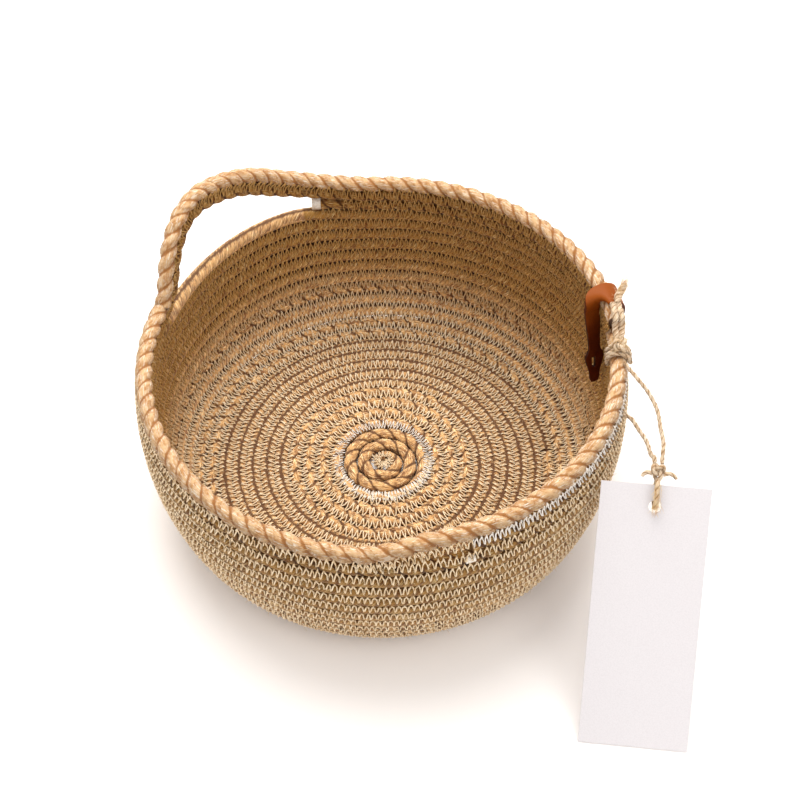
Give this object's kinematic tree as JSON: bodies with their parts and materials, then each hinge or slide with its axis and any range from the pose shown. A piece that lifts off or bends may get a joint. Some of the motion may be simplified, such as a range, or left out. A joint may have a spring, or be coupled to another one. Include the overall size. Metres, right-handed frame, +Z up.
{
  "type": "coiled rope storage basket",
  "caption": "Round bowl-shaped basket of coiled, stitched jute rope with a loop handle on one side, a folded leather tab and a card swing tag on twine.",
  "frame": {"origin": "on the table, under the middle of the whole basket's outline with its handle; the bowl's own axis is 2 mm towards +X", "axes": "+Z up out of the bowl; -X towards the handle, +X towards the card tag's side"},
  "size_m": [0.2738, 0.1936, 0.1072],
  "materials": {
    "body_rope": "two-strand natural jute rope, hairy, dry",
    "rim_rope": "two-strand natural jute rope, paler and a little thicker",
    "end_tape": "white tape round a rope's cut end",
    "white_thread": "cotton sewing thread, white",
    "leather": "chestnut brown, waxed, with dark edges",
    "twine": "two-ply jute twine, fuzzy",
    "card": "off-white uncoated card, unprinted"
  },
  "bodies": {
    "basket": {"base_coil": "body_rope", "corner_coil": "body_rope", "wall_coil": "body_rope", "second_row_rope": "body_rope", "filler_rope": "body_rope", "rim_rope": "rim_rope", "inner_end_tape": "end_tape", "outer_end_tape": "end_tape", "centre_ring_stitching": "white_thread", "white_seam_thread": "white_thread", "handle_seam_thread": "white_thread", "leather_saddle": "leather", "twine_wrap_1": "twine", "twine_wrap_2": "twine", "twine_wrap_3": "twine", "twine_knot": "twine", "lashing_strand_inner": "twine", "lashing_strand_outer": "twine", "twine_tail": "twine", "twine_leg_upper": "twine", "twine_leg_lower": "twine"},
    "tongue": {"leather_tongue": "leather"},
    "tag_knot": {"tag_knot": "twine", "knot_end_left": "twine", "knot_end_right": "twine"},
    "tag": {"tag_loop": "twine", "hang_tag": "card"}
  },
  "joints": [
    {"name": "tongue_lift", "type": "hinge", "parent": "basket", "child": "tongue", "pos_m": [0.04715, 0.07225, 0.07792], "axis": [0.284, 0.9588, 0], "range_deg": [0, 45]},
    {"name": "tag_swivel", "type": "hinge", "parent": "basket", "child": "tag_knot", "pos_m": [0.11287, 0.03279, 0.07334], "axis": [0, 0, 1], "range_deg": [0, 50]},
    {"name": "tag_lift", "type": "hinge", "parent": "tag_knot", "child": "tag", "pos_m": [0.11287, 0.03279, 0.07334], "axis": [-0.766, -0.6428, 0], "range_deg": [0, 75]}
  ]
}
